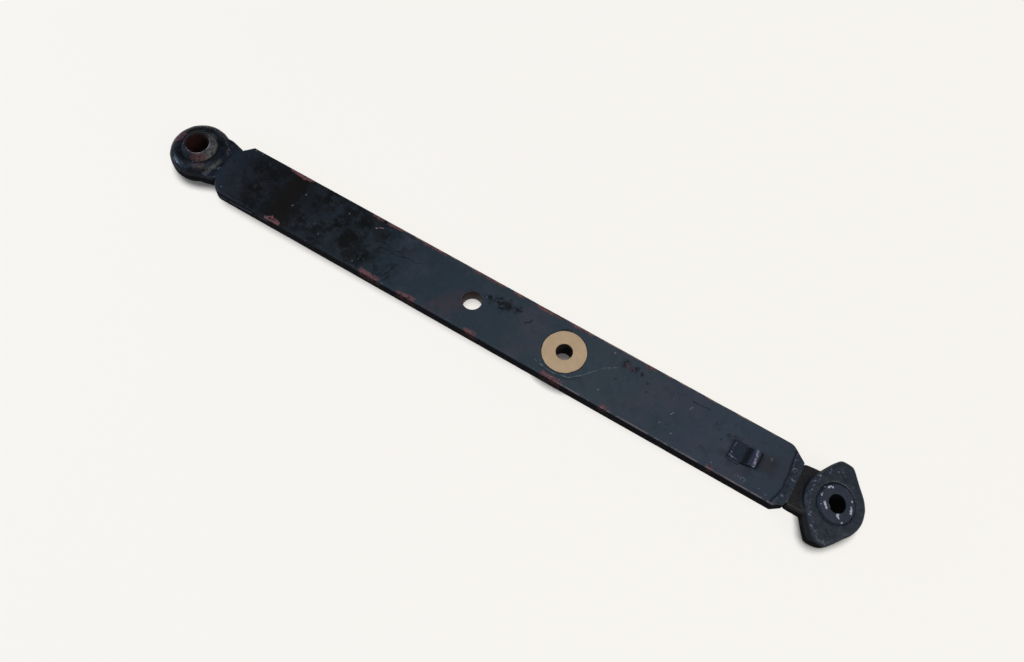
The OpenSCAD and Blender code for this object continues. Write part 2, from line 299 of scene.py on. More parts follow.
def bar_mesh():
    """The flat bar: rounded and knocked along its edges, with its two holes."""
    flat = [p.to_2d() for p in node_points("link_bar")]
    hull = [flat[i] for i in geometry.convex_hull_2d(flat)]
    hull = [c for i, c in enumerate(hull) if (c - hull[i - 1]).length > 0.5]
    corners = [c for i, c in enumerate(hull)
               if (c - hull[i - 1]).angle(hull[(i + 1) % len(hull)] - c) > math.radians(3)]
    # Flame-cut corners: two of them are worn or ground round, the others are nearly sharp.
    radii = []
    for corner in corners:
        rear, upper = corner.x > BUSH.x, corner.y > 0
        on_edge = abs(corner.y) > BAR_HIGH.y - 1
        if rear and upper and on_edge:
            radii.append(REAR_CORNER_R)
        else:
            radii.append(CORNER_R if rear or upper else FRONT_CORNER_R)
    outline = rounded_outline(corners, radii, 3)
    count = len(outline)
    edge_steps = 7
    # Each ring is (inset from the outline, height, share of the edge wear that it takes).
    rings = [(BAR_EDGE_R + 1.2, TOP_Z, 0)]
    for i in range(edge_steps + 1):
        angle = math.pi / 2 * i / edge_steps
        rings.append((BAR_EDGE_R * (1 - math.sin(angle)), TOP_Z - BAR_EDGE_R * (1 - math.cos(angle)),
                      math.sin(math.pi * (0.25 + 0.5 * i / edge_steps))))
    rings.append((0, TOP_Z / 2, 0.4))
    rings += [(inset, -z, wear) for inset, z, wear in reversed(rings)]
    points = []
    for inset, z, wear in rings:
        for i, place in enumerate(outline):
            along = (outline[(i + 1) % count] - outline[i - 1]).normalized()
            inward = Vector((-along.y, along.x))
            if inward.dot(Vector((BUSH.x, 0)) - place) < 0:
                inward = -inward
            spot = Vector((place.x, place.y, z))
            moved = place + inward * (inset + wear * edge_wear(spot))
            points.append((moved.x, moved.y, z))
    faces = strips(len(rings) - 1, count, len(rings))
    # The loops of points that bound the upper face and the lower face, which are filled last.
    top_loops = [range(count)]
    low_loops = [range((len(rings) - 1) * count, len(rings) * count)]
    hole_steps = 96
    for centre, radius in ((PIN, PIN_R), (BUSH, BUSH_R + 0.06)):
        profile = [(radius + HOLE_EDGE_R + 0.6, TOP_Z)]
        profile += [(radius + HOLE_EDGE_R - HOLE_EDGE_R * math.sin(math.radians(a)),
                     TOP_Z - HOLE_EDGE_R + HOLE_EDGE_R * math.cos(math.radians(a))) for a in (0, 30, 60, 90)]
        profile += [(radius, 0)]
        profile += [(r, -z) for r, z in reversed(profile[:-1])]
        base = len(points)
        angles = [2 * math.pi * k / hole_steps for k in range(hole_steps)]
        for r, z in profile:
            points += [(centre.x + r * math.cos(a), centre.y + r * math.sin(a), z) for a in angles]
        rows = len(profile)
        faces += [tuple(base + corner for corner in face) for face in strips(rows - 1, hole_steps, rows)]
        last = base + (rows - 1) * hole_steps
        top_loops.append(range(base, base + hole_steps))
        low_loops.append(range(last, last + hole_steps))
    mesh = bpy.data.meshes.new("bar")
    mesh.from_pydata([Vector(p) * MM for p in points], [], faces)
    shape = bmesh.new()
    shape.from_mesh(mesh)
    shape.verts.ensure_lookup_table()
    for loops in (top_loops, low_loops):
        edges = [shape.edges.get((shape.verts[v], shape.verts[loop[(i + 1) % len(loop)]]))
                 for loop in loops for i, v in enumerate(loop)]
        bmesh.ops.triangle_fill(shape, use_beauty=True, edges=edges, normal=UP)
    for border in BAR_BORDERS:
        everything = shape.verts[:] + shape.edges[:] + shape.faces[:]
        bmesh.ops.bisect_plane(shape, geom=everything, plane_co=(border * MM, 0, 0), plane_no=(1, 0, 0))
    bmesh.ops.recalc_face_normals(shape, faces=shape.faces)
    shape.to_mesh(mesh)
    shape.free()
    return shade(mesh, 50)


def weld_mesh(name, toe_a, toe_b, root, length, crown, pitch, closed=False, taper=None, rough=0.16,
              relief=0.3):
    """A weld between two toes, over a buried root. Each is a function of t from 0 to 1.
    The face swells by crown between the toes, in crescent ripples a pitch apart."""
    step = 0.45
    stations = max(8, round(length / step))
    across = 14
    points = []
    rows = stations if closed else stations + 1
    for i in range(rows):
        t = i / stations
        a, b, c = toe_a(t), toe_b(t), root(t)
        middle = (a + b) / 2
        outward = (middle - c).normalized()
        ease = 1
        if not closed:
            nearness = min(t, 1 - t) * length / taper
            ease = math.sqrt(max(0.0, 1 - (1 - min(1, nearness)) ** 2))
            a, b = middle.lerp(a, 0.25 + 0.75 * ease), middle.lerp(b, 0.25 + 0.75 * ease)
        for j in range(across + 1):
            s = j / across
            base = a.lerp(b, s)
            lateral = 4 * s * (1 - s)
            wander = 0.35 * noise.noise(Vector((t * length / 9, 3.7, 0)))
            phase = (t * length + (1 - lateral) * -1.6) / pitch + wander
            rise = (phase % 1) ** 1.5 if phase % 1 < 0.86 else 0.8 * (1 - phase % 1) / 0.14
            ripple = 0.78 + relief * rise
            swell = crown * ease * lateral ** 0.75 * ripple
            grain = rough * noise.noise(base / 1.7) * lateral ** 0.5 * ease
            heave = rough * 1.2 * noise.noise(base / 6 + Vector((9, 0, 0))) * lateral * ease
            points.append(base + outward * (swell + grain + heave))
        points.append(c)
    width = across + 2
    faces = strips(stations, width, rows)
    if not closed:
        faces.append(tuple(range(width)))
        faces.append(tuple(range((rows - 1) * width, rows * width)))
    return shade(mesh_from(name, points, faces), 60)


def joined(name, meshes):
    """One mesh out of several."""
    shape = bmesh.new()
    for mesh in meshes:
        shape.from_mesh(mesh)
        bpy.data.meshes.remove(mesh)
    whole = bpy.data.meshes.new(name)
    shape.to_mesh(whole)
    shape.free()
    return shade(whole)


def butt_weld_mesh(node, width, slant, near_drop, far_drop, bury, crown, pitch, pads):
    """Both beads of a butt weld, one on each face, laid over the CAD node's own box.
    A drop or a bury is how far the toes or the root lie under the bar's face."""
    low, high = box_mm(node)
    middle_x, middle_y = (low.x + high.x) / 2, (low.y + high.y) / 2
    length = high.y - low.y
    meshes = []
    for side in (1, -1):
        def rail(offset, drop):
            def at(t):
                y = low.y + length * t
                lean = (y - middle_y) * math.tan(math.radians(slant))
                sway = 0.5 * noise.noise(Vector((y / 11, offset, side * 5)))
                return Vector((middle_x + lean + offset + sway, y, side * (TOP_Z - drop)))
            return at
        meshes.append(weld_mesh(node, rail(-width / 2, near_drop), rail(width / 2, far_drop), rail(0, bury),
                                length, crown, pitch, taper=width * 0.6))
    return joined(node, meshes + pads)


def ground_pad_mesh():
    """The low strip of weld metal, ground down, across the whole upper face at the bar's rear end."""
    low_y, high_y = -35.5, 31.0
    groove_x, end_x, chamfer_y = 840.0, 852.4, 23.0

    def rail(offset, z):
        def at(t):
            y = low_y + (high_y - low_y) * t
            inner = groove_x + 3.5 * math.sin(math.pi * t) + 0.5 * noise.noise(Vector((y / 8, 1, 0)))
            outer = end_x - max(0, y - chamfer_y)
            return Vector((inner + (outer - inner) * offset, y, z))
        return at
    return weld_mesh("pad", rail(0, TOP_Z - 0.1), rail(1, TOP_Z - 0.1), rail(0.5, TOP_Z - 3),
                     high_y - low_y, 0.45, 9.0, taper=5, rough=0.5, relief=0.05)


def keeper_weld_mesh():
    """The fillet along each side of the keeper strap's foot."""
    low, high = box_mm("keeper_weld")
    middle = (STRAP_LOW.y + STRAP_HIGH.y) / 2
    half = (STRAP_HIGH.y - STRAP_LOW.y) / 2
    meshes = []
    for side in (-1, 1):
        def rail(out, up):
            y = middle + side * (half + out)
            return lambda t: Vector((low.x - 0.5 + (high.x - low.x) * t, y, TOP_Z + up))
        meshes.append(weld_mesh("keeper_weld", rail(3.2, -0.2), rail(-0.2, 2.2), rail(-0.6, -0.6),
                                high.x - low.x, 0.5, 4.0, taper=3))
    return joined("keeper_weld", meshes)


def bush_weld_mesh():
    """The fillet around the bush on the lower face of the bar."""
    low, high = box_mm("bush_weld")
    leg = (high.x - low.x) / 2 - BUSH_R

    def rail(radius, z):
        def at(t):
            angle = 2 * math.pi * t
            return Vector((BUSH.x + radius * math.cos(angle), BUSH.y + radius * math.sin(angle), z))
        return at
    return weld_mesh("bush_weld", rail(BUSH_R + leg, high.z + 0.2), rail(BUSH_R - 0.1, low.z),
                     rail(BUSH_R - 0.5, high.z), 2 * math.pi * (BUSH_R + leg / 2), 0.9, 4.5, closed=True)


# Materials

def linear(rgb):
    """Linear colour with alpha from an 8-bit sRGB colour."""
    shares = [c / 255 for c in rgb]
    return (*(c / 12.92 if c <= 0.04045 else ((c + 0.055) / 1.055) ** 2.4 for c in shares), 1.0)


class Paint:
    """A node material that paints in millimetres of the part's frame.
    Its colour is built up in coats. A colour is an sRGB triple or a socket.
    It leaves out the marks beyond its span along X. A mask that has nothing left in it is None."""

    def __init__(self, name, span=(-100, 1000)):
        self.low, self.high = span
        self.colour = None
        self.material = bpy.data.materials.new(name)
        self.material.use_nodes = True
        self.tree = self.material.node_tree
        self.tree.nodes.clear()
        output = self.add("ShaderNodeOutputMaterial")
        self.surface = self.add("ShaderNodeBsdfPrincipled")
        self.tree.links.new(self.surface.outputs["BSDF"], output.inputs["Surface"])
        coordinates = self.add("ShaderNodeTexCoord")
        self.mm = self.vector("MULTIPLY", coordinates.outputs["Object"], (1000, 1000, 1000))
        facing = self.add("ShaderNodeSeparateXYZ")
        self.tree.links.new(coordinates.outputs["Normal"], facing.inputs[0])
        self.facing_up = facing.outputs["Z"]
        self.ragged = self.warp(self.mm, 5, 2.2)
        split = self.add("ShaderNodeSeparateXYZ")
        self.tree.links.new(self.mm, split.inputs[0])
        self.x, self.y, self.z = split.outputs

    def add(self, kind):
        return self.tree.nodes.new(kind)

    def feed(self, socket, value):
        if isinstance(value, bpy.types.NodeSocket):
            self.tree.links.new(value, socket)
        else:
            socket.default_value = value

    def math(self, operation, *values, clamp=False):
        node = self.add("ShaderNodeMath")
        node.operation = operation
        node.use_clamp = clamp
        for socket, value in zip(node.inputs, values):
            self.feed(socket, value)
        return node.outputs[0]

    def plus(self, a, b, clamp=False):
        return self.math("ADD", a, b, clamp=clamp)

    def minus(self, a, b):
        return self.math("SUBTRACT", a, b)

    def vector(self, operation, *values):
        node = self.add("ShaderNodeVectorMath")
        node.operation = operation
        for socket, value in zip(node.inputs, values):
            self.feed(socket, value)
        return node.outputs["Value"] if operation in ("DISTANCE", "DOT_PRODUCT") else node.outputs[0]

    def scaled(self, direction, length):
        """A fixed direction times a length that varies."""
        node = self.add("ShaderNodeVectorMath")
        node.operation = "SCALE"
        node.inputs[0].default_value = tuple(direction)
        self.feed(node.inputs["Scale"], length)
        return node.outputs[0]

    def flat(self, place):
        """The place as seen from above, at height 0."""
        return self.vector("MULTIPLY", place, (1, 1, 0))

    def distance_from(self, centre):
        """Distance from an upright line through a centre."""
        return self.vector("DISTANCE", self.flat(self.mm), (centre.x, centre.y, 0))

    def noise(self, size, detail=3.0, roughness=0.55, at=None, shift=0.0):
        """Noise about 0.5, with features of that size in millimetres."""
        node = self.add("ShaderNodeTexNoise")
        place = at or self.mm
        if shift:
            place = self.vector("ADD", place, (shift, shift * 1.7, -shift))
        self.feed(node.inputs["Vector"], place)
        node.inputs["Scale"].default_value = 1 / size
        node.inputs["Detail"].default_value = detail
        node.inputs["Roughness"].default_value = roughness
        return node.outputs["Fac"]

    def warp(self, place, size, reach):
        """The place shifted unevenly along X and Y by up to about the reach, in millimetres."""
        shift = self.add("ShaderNodeCombineXYZ")
        for socket, offset in zip(shift.inputs[:2], (0.0, 57.0)):
            swing = self.minus(self.noise(size, 3, at=place, shift=offset), 0.5)
            self.feed(socket, self.math("MULTIPLY", swing, 3 * reach))
        return self.vector("ADD", place, shift.outputs[0])

    def swayed(self, value, reach, size, shift, detail=5, roughness=0.66):
        """A coordinate moved unevenly by up to about half the reach."""
        swing = self.minus(self.noise(size, detail, roughness, shift=shift), 0.5)
        return self.plus(value, self.math("MULTIPLY", swing, reach))

    def ramp(self, value, low, high):
        """0 at low and 1 at high, smooth between."""
        node = self.add("ShaderNodeMapRange")
        node.interpolation_type = "SMOOTHSTEP"
        self.feed(node.inputs["Value"], value)
        node.inputs["From Min"].default_value = low
        node.inputs["From Max"].default_value = high
        return node.outputs["Result"]

    def patches(self, size, low, high, shift=0.0, detail=4, roughness=0.6):
        """A mask of patches of about that size, from noise between two levels."""
        return self.ramp(self.noise(size, detail, roughness, shift=shift), low, high)

    def mix(self, share, a, b):
        """Colour a turned into colour b by the share."""
        if share is None:
            return a
        node = self.add("ShaderNodeMix")
        node.data_type = "RGBA"
        self.feed(node.inputs["Factor"], share)
        for name, colour in (("A", a), ("B", b)):
            self.feed(node.inputs[name], linear(colour) if isinstance(colour, tuple) else colour)
        return node.outputs["Result"]

    def coat(self, mask, colour, share=None):
        """Lays a colour over the paint where the mask is, by the share of it."""
        cover = mask if share is None else self.both(mask, share)
        self.colour = self.mix(cover, self.colour, colour)

    def gathered(self, masks):
        """The greatest of several masks. Each joins as it is made, so that few are held at a time."""
        found = None
        for mask in masks:
            if mask is not None:
                found = mask if found is None else self.math("MAXIMUM", found, mask)
        return found

    def most(self, *masks):
        return self.gathered(masks)

    def both(self, *masks):
        """The product of masks and numbers."""
        if None in masks:
            return None
        found = masks[0]
        for mask in masks[1:]:
            found = self.math("MULTIPLY", found, mask)
        return found

    def broken(self, mask, size, shift=0.0, low=0.42, high=0.56):
        """A mask with gaps of about that size in it."""
        return self.both(mask, self.patches(size, low, high, shift, 3)) if mask else None

    def steep(self, low, high):
        """A mask of upright faces: 0 where they face up by more than low, and 1 below high."""
        return self.both(self.ramp(self.facing_up, low, high), self.ramp(self.facing_up, -0.9, -0.5))

    def within(self, *places):
        """Whether any of the places along X is in the span, or near it."""
        margin = 24
        return max(places) > self.low - margin and min(places) < self.high + margin

    def spot(self, place, radius, soft=0.5, at=None):
        """A mask that is 1 within a radius of a place, and fades over the soft share of it."""
        if not self.within(place[0]):
            return None
        distance = self.vector("DISTANCE", at or self.ragged, place)
        return self.ramp(distance, radius * (1 + soft / 2), radius * (1 - soft))

    def spots(self, places, height, soft=0.5, at=None):
        """Spots at (x, y, radius) on a level."""
        return self.gathered(self.spot((x, y, height), r, soft, at) for x, y, r in places)

    def stroke(self, start, end, width, soft=0.5, at=None):
        """A mask along a straight line between two places."""
        if not self.within(start[0], end[0]):
            return None
        run = Vector(end) - Vector(start)
        offset = self.vector("SUBTRACT", at or self.ragged, tuple(start))
        along = self.vector("DOT_PRODUCT", offset, tuple(run))
        along = self.math("DIVIDE", along, run.length_squared, clamp=True)
        distance = self.vector("DISTANCE", offset, self.scaled(run, along))
        return self.ramp(distance, width / 2 * (1 + soft), width / 2 * (1 - soft))

    def line(self, places, height, width, soft=0.5, at=None):
        """A mask along a line through several (x, y) on a level."""
        pairs = zip(places[:-1], places[1:])
        return self.gathered(self.stroke((*a, height), (*b, height), width, soft, at) for a, b in pairs)

    def steps(self, value, scale, stops):
        """A colour ramp over the value, from (place, sRGB) stops."""
        node = self.add("ShaderNodeValToRGB")
        self.feed(node.inputs[0], self.math("DIVIDE", value, scale))
        elements = node.color_ramp.elements
        while len(elements) > 1:
            elements.remove(elements[-1])
        for i, (place, rgb) in enumerate(stops):
            element = elements[0] if i == 0 else elements.new(place / scale)
            element.position = place / scale
            element.color = linear(rgb)
        return node.outputs["Color"]

    def runs(self, value, pairs, soft):
        """A mask that is 1 between each (start, end) along the value."""
        return self.gathered(
            self.both(self.ramp(value, start - soft, start + soft), self.ramp(value, end + soft, end - soft))
            for start, end in pairs if self.within(start, end))

    def uneven(self, base, spread, size):
        """A roughness that rises above its base by a part of the spread, in patches."""
        return self.plus(base, self.both(self.noise(size, 4, 0.6, shift=52), spread))

    def finish(self, roughness, height, depth, specular=0.08):
        """Sets the surface. The height field runs from 0 to 1 and stands for a depth in millimetres."""
        shader = self.surface
        self.feed(shader.inputs["Base Color"], self.colour)
        self.feed(shader.inputs["Roughness"], roughness)
        shader.inputs["Specular IOR Level"].default_value = specular
        bump = self.add("ShaderNodeBump")
        bump.inputs["Strength"].default_value = 1.0
        bump.inputs["Distance"].default_value = depth * MM
        self.feed(bump.inputs["Height"], height)
        self.tree.links.new(bump.outputs["Normal"], shader.inputs["Normal"])
        return self.material


PRIMER = (86, 57, 59)
RUST = (54, 37, 38)
ORANGE = (118, 86, 78)
PALE_CHIP = (88, 93, 98)
PINK_CHIP = (112, 92, 96)
BLACKISH = (14, 13, 12)

# Paint tones along the link, as (x, colour). They grow lighter towards the rear partly as painted light,
# brighter at that end, and partly as the paint's own tone.
BAR_TONES_AND_LIGHT = [
    (45, (20, 26, 33)), (85, (11, 13, 17)), (150, (12, 14, 17)), (200, (20, 25, 30)), (250, (20, 25, 29)),
    (300, (27, 35, 42)), (400, (32, 40, 47)), (480, (35, 43, 49)), (600, (42, 49, 55)), (670, (40, 47, 54)),
    (720, (40, 47, 56)), (760, (41, 49, 58)), (853, (36, 42, 51)),
]
FORGING_TONES_AND_LIGHT = [
    (0, (11, 14, 19)), (25, (15, 19, 26)), (60, (20, 26, 34)), (780, (28, 34, 43)),
    (800, (25, 32, 40)), (845, (30, 36, 45)), (880, (28, 33, 40)), (940, (29, 34, 43)),
]

# Stretches of primer and rust along the bar's two edges, as (start, end) along X.
UPPER_RUNS = [(247, 262), (270, 291), (323, 356), (400, 440), (455, 469), (486, 524), (538, 565), (640, 652)]
LOWER_RUNS = [(276, 304), (332, 357), (428, 444), (537, 563), (618, 624), (757, 764)]

# Marks on the bar's upper face, placed from the photograph, as (x, y, radius).
ROUGH_SPOTS = [(87, 17, 15), (94, -10, 13), (106, 18, 11), (188, 30, 13), (243, 22, 15), (240, -10, 15),
               (215, 6, 11), (176, -16, 10), (268, -22, 12)]
SMUDGE = [(434, 14, 6), (448, 16, 8), (458, 17, 7.5), (471, 18, 6), (452, 9, 5)]
PITS = [(633, 28, 2.6), (641, 22, 2.4), (652, 17, 2.0), (616, 2, 2.0), (762, 9, 3), (655, 6, 1.6),
        (770, 11, 3), (757, 0, 2)]
CHIPS = [(220, 22.5, 1.25), (152, -6, 1.2), (157, 16, 1.4), (74, 37.5, 1.2), (168, -41, 1.2), (180, -41, 1.2),
         (605, -21, 1.0), (687, 16, 1.0), (704, -24, 0.9), (686, -19, 1.2), (829, -33, 1.0),
         (820, -30.4, 0.8), (160, -42, 1.0), (195, -42, 1.0), (192, -13.5, 0.9), (204, -23, 0.9),
         (59, -31, 0.8), (77, -19.6, 0.7), (532, -29, 1.1), (546, -36.5, 1.0), (557, -40, 1.2),
         (528, -25, 0.9), (262, -32, 1.2), (310, -38.5, 1.1), (590, -36, 0.9), (760, -31, 0.8),
         (430, 13, 0.9), (63, 36.5, 1.1)]
DARK_PATCHES_BY_STRAP = [(768, 7, 6), (776, 10, 5), (765, -14, 6), (778, -21, 6), (800, -19, 7), (822, 6, 6), (826, -10, 5)]

# Lines on the bar's upper face: the crack under the bush, and scratches as (width, softness, line).
CRACK = [(522, -27), (535, -30), (548, -31), (566, -27), (579, -17), (589, -4), (598, 7), (612, 16)]
SCRATCHES = [
    (1.2, 0.8, [(276, 2), (292, 5), (305, 3), (318, 9)]),
    (1.6, 0.8, [(296, 4), (300, 8), (304, 11)]),
    (1.5, 0.8, [(299, -32), (303, -21), (302, -12)]),
    (1.3, 0.8, [(304, -30), (308, -22), (310, -11)]),
    (1.2, 0.8, [(309, -33), (313, -24)]),
    (1.6, 0.8, [(488, 8), (493, 15)]),
    (1.8, 0.9, [(530, 24), (540, 29)]),
    (1.4, 0.8, [(228, -4), (243, 1), (256, -1)]),
    (1.6, 0.8, [(270, 8), (279, 12), (291, 9)]),
    (1.0, 0.8, [(318, 9), (330, 7), (338, 10)]),
    (1.6, 0.8, [(214, 30), (226, 20)]),
]
STRAIGHT_SCRATCHES = [
    (1.1, 0.8, [(708, 25), (720, 25), (731, 26.5)]),
    (1.3, 0.8, [(741, 17.5), (744, 14), (748, 15.5)]),
]


def bar_ground(p):
    """The bar's tones with their painted light, clouded, mottled and smeared. Gives the two noises that later
    marks follow.
    """
    p.colour = p.steps(p.x, 900, BAR_TONES_AND_LIGHT)
    cloud = p.noise(58, 4, 0.6)
    patch = p.noise(17, 4, 0.62, shift=40)
    grain = p.noise(2.6, 3, 0.6, shift=9)
    rearward = p.ramp(p.x, 180, 330)
    p.coat(p.both(p.ramp(cloud, 0.45, 0.66), p.plus(0.12, p.both(rearward, 0.34))), (52, 50, 58))
    p.coat(p.ramp(patch, 0.48, 0.7), p.mix(rearward, (12, 18, 24), (30, 41, 48)), 0.5)
    p.coat(p.patches(8, 0.56, 0.7, 77, 5, 0.66), p.mix(rearward, (8, 9, 11), (24, 29, 36)), 0.4)
    p.coat(p.ramp(grain, 0.52, 0.75), (60, 68, 78), 0.16)
    p.coat(p.both(p.patches(24, 0.49, 0.6, 101, 6, 0.7), p.runs(p.x, [(160, 318)], 22)), (13, 15, 18), 0.6)
    return cloud, patch


def black_marks(p, patch, upper):
    """Scabs near the front, and the band rubbed to black with primer left at its two ends."""
    worn = p.runs(p.x, [(72, 285)], 26)
    rough_spots = p.spots(ROUGH_SPOTS, TOP_Z, 0.6, p.warp(p.mm, 14, 11))
    scabs = p.patches(9, 0.38, 0.5, 70, 5, 0.68)
    dark = p.both(p.most(p.both(worn, p.ramp(patch, 0.45, 0.58), 0.8), rough_spots), scabs, upper)
    p.coat(dark, (9, 9, 8), 0.92)
    across = p.plus(p.swayed(p.x, 26, 13, 22), p.both(p.y, 0.035))
    band = p.both(p.runs(across, [(128, 154)], 2.4), upper)
    p.coat(band, BLACKISH, 0.96)
    frayed = p.warp(p.mm, 4, 2.6)
    ends = p.most(p.line([(120, 38), (133, 36.8), (141, 35.4), (152, 37.4)], TOP_Z - 0.2, 4.6, 0.4, frayed),
                  p.line([(133, -38.6), (141, -39), (152, -38)], TOP_Z - 0.4, 3.4, 0.4, frayed),
                  p.line([(134, -36.6), (140, -34), (148, -34.6), (154, -37)], TOP_Z, 2.4, 0.5, frayed))
    ends = p.broken(ends, 4.5, 35, 0.36, 0.48)
    p.coat(ends, PRIMER, 0.9)
    return dark, band, ends


def edge_marks(p, upper):
    """Primer and rust in runs, a thin bare line along the far edge, a pale line painted as the highlight on
    the near edge's rounding, specks and chips.
    """
    ragged_y = p.swayed(p.y, 11, 11, 5, 6, 0.72)
    upper_edge = p.both(p.ramp(ragged_y, 34.4, 35.8), p.runs(p.x, UPPER_RUNS, 3))
    lower_edge = p.both(p.ramp(ragged_y, -33.8, -35.2), p.runs(p.x, LOWER_RUNS, 3))
    edge = p.both(p.most(upper_edge, lower_edge), p.patches(6, 0.28, 0.38, 31), upper)
    p.coat(edge, p.mix(p.patches(5, 0.38, 0.58, 14, 4, 0.66), RUST, PRIMER), 0.85)
    bright = p.both(p.ramp(p.y, 37.2, 37.9), p.ramp(p.y, 39.5, 39.1), p.ramp(p.z, 7.8, 8.6),
                    p.patches(11, 0.49, 0.55, 51, 5, 0.75), p.ramp(p.x, 240, 300))
    p.coat(bright, ORANGE, 0.8)
    # A thin pale line painted as the highlight on the near edge's rounding, towards the rear.
    near_edge_highlight = p.both(p.ramp(p.y, -38.0, -38.5), p.ramp(p.y, -39.8, -39.2), p.ramp(p.z, 7.8, 8.6),
                   p.runs(p.x, [(560, 842)], 8), p.patches(12, 0.45, 0.54, 63, 5, 0.75))
    p.coat(near_edge_highlight, (96, 86, 88), 0.7)
    specks = p.both(p.runs(p.x, [(536, 572)], 4), p.ramp(p.y, -33, -36), p.patches(2.6, 0.64, 0.68, 27, 3))
    p.coat(specks, (150, 142, 146), 0.9)
    chipped = p.both(p.ramp(p.math("ABSOLUTE", ragged_y), 38.6, 40), p.patches(3.2, 0.6, 0.66, 88, 3), upper)
    p.coat(chipped, (96, 92, 90), 0.55)
    return edge


def pin_hole_marks(p):
    """The hole for a plain pin: a dark wall, a rusty rim, a brown halo and a smudge beside it."""
    halo = p.most(p.spot((403, -8, TOP_Z), 14, 1.0, p.warp(p.mm, 10, 6)),
                  p.spot((392, -23, TOP_Z), 15, 0.9, p.warp(p.mm, 12, 9)),
                  p.spot((380, -31, TOP_Z), 10, 0.9, p.warp(p.mm, 12, 9)))
    halo = p.broken(halo, 8, 3, 0.34, 0.56)
    p.coat(halo, (50, 41, 47), 0.8)
    from_pin = p.distance_from(PIN)
    rim = p.ramp(p.plus(from_pin, p.both(p.noise(4, 3, 0.6, shift=61), 3)), PIN_R + 2.6, PIN_R + 1.4)
    p.coat(rim, p.mix(p.noise(3, 3, 0.6, shift=7), (30, 18, 15), (92, 58, 44)), 0.9)
    p.coat(p.ramp(from_pin, PIN_R + 0.5, PIN_R + 0.15), (20, 10, 9), 0.9)
    smudge = p.spots(SMUDGE, TOP_Z, 0.8, p.warp(p.mm, 6, 6))
    p.coat(p.broken(smudge, 3.5, 19, 0.38, 0.5), (11, 12, 16), 0.95)
    return halo, from_pin


def bush_marks(p, calm):
    """Around the bush: a thin dark gap, and a crack in the paint with a shade under it."""
    gap = p.plus(p.distance_from(BUSH), p.both(p.noise(5, 3, 0.6, shift=37), 1.6))
    p.coat(p.ramp(gap, BUSH_R + 2.1, BUSH_R + 1.3), (27, 27, 29), 0.85)
    crack = p.line(CRACK, TOP_Z, 0.9, 0.6, calm)
    p.coat(p.both(crack, p.patches(5, 0.40, 0.60, 83, 3)), (92, 106, 114), 0.5)
    under = p.line([(532, -32.5), (548, -33.5), (566, -29.5), (580, -19)], TOP_Z, 2.4, 0.9, calm)
    p.coat(under, (24, 29, 35), 0.5)


def single_marks(p, calm, cloud, upper):
    """Scratches, pits, chips and dust that the photograph shows singly."""
    scratches = p.gathered(p.line(places, TOP_Z, width, soft, at) for at, group in
                           ((None, SCRATCHES), (calm, STRAIGHT_SCRATCHES)) for width, soft, places in group)
    p.coat(p.broken(scratches, 3, 71, 0.36, 0.48), (12, 14, 18), 0.85)
    p.coat(p.spots(PITS, TOP_Z, 0.7), (25, 28, 32), 0.7)
    purple = p.spots([(618, 25, 7), (630, 23.5, 6.5), (641, 25, 3)], TOP_Z, 0.7, p.warp(p.mm, 7, 4))
    p.coat(p.broken(purple, 3, 24, 0.36, 0.48), (17, 17, 23), 0.85)
    reddish = p.spots([(620, 25, 3.6), (627, 22, 3)], TOP_Z, 0.7)
    p.coat(p.broken(reddish, 2.2, 64, 0.48, 0.56), (70, 48, 58), 0.9)
    pink = p.most(p.line([(260, 22), (263, 25), (269, 27.5)], TOP_Z, 1.4, 0.7, p.warp(p.mm, 4, 1.5)),
                  p.spots([(818, 9, 1.7), (600, 31, 1.2), (524, -27.5, 0.9)], TOP_Z, 0.5))
    p.coat(p.broken(pink, 1.8, 68, 0.36, 0.5), PINK_CHIP, 0.85)
    chips = p.most(p.spots(CHIPS, TOP_Z, 0.8, p.warp(p.mm, 2.4, 1.8)),
                   p.line([(709, 14), (710.5, 17.5)], TOP_Z, 1.1, 0.6, calm),
                   p.line([(693, -4), (695, 0)], TOP_Z, 1.2, 0.6, calm))
    p.coat(p.broken(chips, 1.6, 53, 0.38, 0.52), PALE_CHIP, 0.9)
    cluster = p.spots([(796, -29, 4.5), (800, -31.5, 3.5), (792, -32, 2.5)], TOP_Z, 0.8)
    p.coat(p.broken(cluster, 1.5, 53, 0.56, 0.64), (118, 124, 132), 0.85)
    dust = p.both(p.patches(1.5, 0.74, 0.79, 95, 2, 0.5), p.ramp(cloud, 0.4, 0.6), upper)
    p.coat(dust, (92, 98, 104), 0.5)
    return scratches, pink, chips


def rear_end_marks(p, calm):
    """Darker patches and a round rubbed mark around the strap, and beside the rear weld a dark line painted
    as the shade of a sunken seam, with a pale line painted as the highlight on its edge toward the weld.
    """
    p.coat(p.spot((816, -1, TOP_Z), 12, 0.35, p.warp(p.mm, 9, 1.6)), (34, 32, 37), 0.4)
    p.coat(p.spot((815, -1, TOP_Z), 9, 0.9, p.warp(p.mm, 9, 1.6)), (46, 42, 47), 0.3)
    p.coat(p.spot((793, -22, TOP_Z), 9, 0.9, p.warp(p.mm, 7, 4)), (46, 41, 48), 0.45)
    # Darker patches around the strap.
    p.coat(p.spots(DARK_PATCHES_BY_STRAP, TOP_Z, 0.9, p.warp(p.mm, 6, 3)), (29, 33, 38), 0.5)
    # A dark line painted as the shade of a sunken seam at the ground pad's edge.
    seam_shade = [(837.5, -37), (841, -25), (843, -14), (842, 4), (839.5, 20), (839, 33)]
    p.coat(p.line(seam_shade, TOP_Z, 3.0, 0.8, calm), (13, 16, 21), 0.85)
    # A pale line painted as the highlight beside it.
    seam_highlight = [(840, -37), (843.5, -25), (845.5, -14), (844.5, 4), (842, 20), (841.5, 31)]
    p.coat(p.both(p.line(seam_highlight, TOP_Z, 1.2, 0.8, calm), p.patches(4, 0.4, 0.6, 45, 3)), (78, 84, 94), 0.7)


